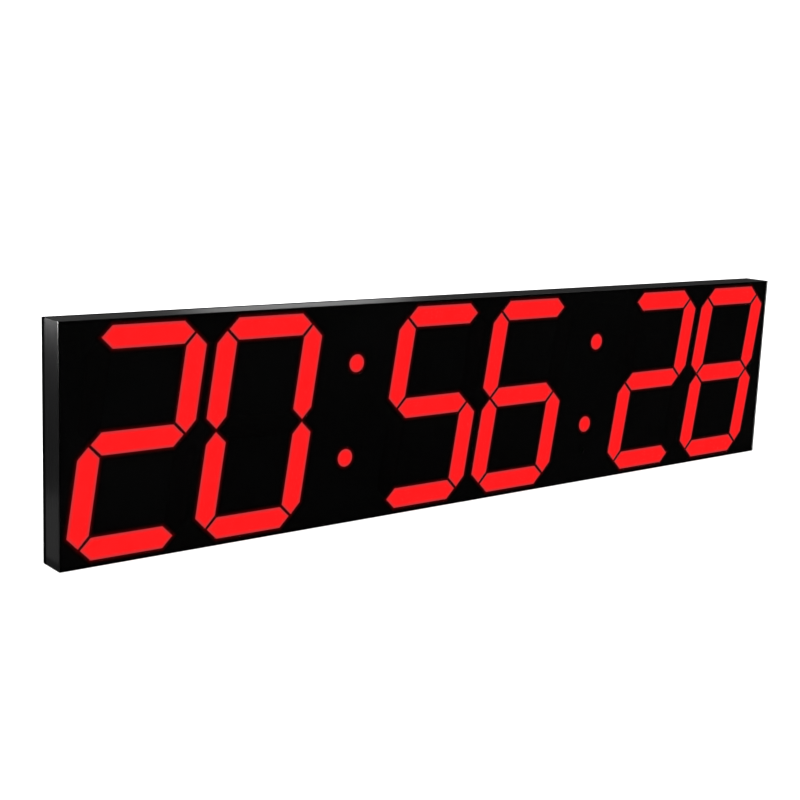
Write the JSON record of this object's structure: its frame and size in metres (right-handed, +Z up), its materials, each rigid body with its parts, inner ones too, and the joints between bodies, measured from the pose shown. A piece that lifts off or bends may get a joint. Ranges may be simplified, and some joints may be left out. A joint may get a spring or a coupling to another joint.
{
  "type": "gym round timer",
  "caption": "Wide, thin LED round timer with slanted seven-segment digits and colons behind a smoked front panel in a slim black metal frame, with controls in its base.",
  "frame": {"origin": "centre of the base, at the bottom of the case", "axes": "+X to the right as the clock is read, -Y out of its face, +Z up"},
  "size_m": [0.7, 0.024, 0.16],
  "materials": {
    "smoked_acrylic": "polished smoked acrylic",
    "mask_black": "matt black",
    "red_light": "milky red diffuser, lit",
    "reflector_white": "matt white moulding",
    "black_anodised": "satin black anodised",
    "cover_black": "fine textured black powder coat",
    "zinc_steel": "zinc plated",
    "board_green": "green solder mask",
    "black_plastic": "fine moulded black",
    "cable_grey": "soft grey insulation"
  },
  "bodies": {
    "case": {"front_panel": "smoked_acrylic", "top_rail": "black_anodised", "bottom_rail": "black_anodised", "left_rail": "black_anodised", "right_rail": "black_anodised", "rear_cover": "cover_black", "dc_jack": "black_plastic", "rocker_housing": "black_plastic", "segment_mask": "mask_black", "digit_diffuser_1": "red_light", "digit_diffuser_2": "red_light", "digit_diffuser_3": "red_light", "digit_diffuser_4": "red_light", "digit_diffuser_5": "red_light", "digit_diffuser_6": "red_light", "digit_reflector_1": "reflector_white", "digit_reflector_2": "reflector_white", "digit_reflector_3": "reflector_white", "digit_reflector_4": "reflector_white", "digit_reflector_5": "reflector_white", "digit_reflector_6": "reflector_white", "colon_diffuser_left": "red_light", "colon_diffuser_right": "red_light", "colon_reflector_left": "reflector_white", "colon_reflector_right": "reflector_white", "led_board_left": "board_green", "led_board_middle": "board_green", "led_board_right": "board_green", "colon_board_left": "board_green", "colon_board_right": "board_green", "corner_bracket_bottom_left": "zinc_steel", "corner_bracket_bottom_right": "zinc_steel", "corner_bracket_top_left": "zinc_steel", "corner_bracket_top_right": "zinc_steel", "cover_screw_1": "zinc_steel", "cover_screw_2": "zinc_steel", "cover_screw_3": "zinc_steel", "cover_screw_4": "zinc_steel", "cover_screw_5": "zinc_steel", "cover_screw_6": "zinc_steel", "cover_screw_7": "zinc_steel", "cover_screw_8": "zinc_steel", "button_guide": "black_plastic", "key_board": "board_green", "control_board": "board_green", "processor": "black_plastic", "buzzer": "black_plastic", "coin_cell_holder": "black_plastic", "coin_cell": "zinc_steel", "ir_receiver": "black_plastic", "ribbon_right": "cable_grey", "ribbon_middle": "cable_grey", "ribbon_left": "cable_grey", "ribbon_buttons": "cable_grey"},
    "button_1": {"button_1": "black_plastic"},
    "button_2": {"button_2": "black_plastic"},
    "button_3": {"button_3": "black_plastic"},
    "button_4": {"button_4": "black_plastic"},
    "rocker": {"rocker_paddle": "black_plastic"}
  },
  "joints": [
    {"name": "button_1_press", "type": "slide", "parent": "case", "child": "button_1", "axis": [0, 0, 1], "range_m": [0, 0.0008], "stiffness_N_per_m": 400},
    {"name": "button_2_press", "type": "slide", "parent": "case", "child": "button_2", "axis": [0, 0, 1], "range_m": [0, 0.0008], "stiffness_N_per_m": 400},
    {"name": "button_3_press", "type": "slide", "parent": "case", "child": "button_3", "axis": [0, 0, 1], "range_m": [0, 0.0008], "stiffness_N_per_m": 400},
    {"name": "button_4_press", "type": "slide", "parent": "case", "child": "button_4", "axis": [0, 0, 1], "range_m": [0, 0.0008], "stiffness_N_per_m": 400},
    {"name": "rocker_tilt", "type": "hinge", "parent": "case", "child": "rocker", "pos_m": [0.1245, -0.001, 0.0055], "axis": [0, -1, 0], "range_deg": [0, 16]}
  ]
}
